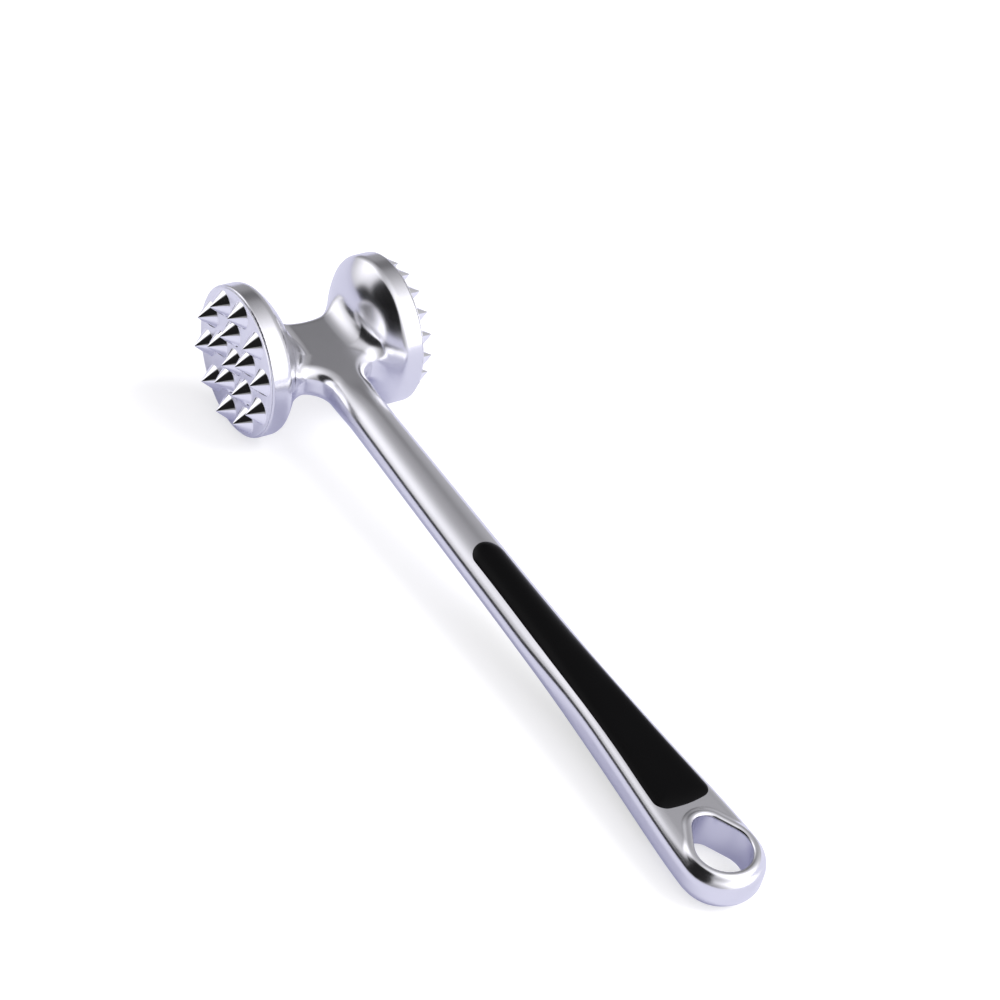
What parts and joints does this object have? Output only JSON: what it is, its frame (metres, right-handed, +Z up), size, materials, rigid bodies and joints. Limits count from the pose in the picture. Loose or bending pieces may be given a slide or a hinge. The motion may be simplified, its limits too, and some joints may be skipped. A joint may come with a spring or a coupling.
{
  "type": "meat tenderizer",
  "caption": "Chrome-finished T-shaped meat hammer with a coarse and a fine toothed striking plate, black grip inlays and a hang eye in the end of its handle.",
  "frame": {"origin": "middle of the bounding box, on the surface that the tool lies on", "axes": "+X along the head axis towards the fine teeth, +Y along the tool from the hang eye towards the head, +Z up from the surface that it lies on"},
  "size_m": [0.0602, 0.2488, 0.046],
  "materials": {
    "satin_chrome": "satin",
    "polished_chrome": "polished",
    "stud_steel": "plain",
    "black_rubber": "satin"
  },
  "bodies": {
    "root": {"body_casting": "satin_chrome", "coarse_tooth_plate": "polished_chrome", "fine_tooth_plate": "polished_chrome", "head_tie_stud": "stud_steel", "upper_grip_inlay": "black_rubber", "lower_grip_inlay": "black_rubber"}
  },
  "joints": []
}
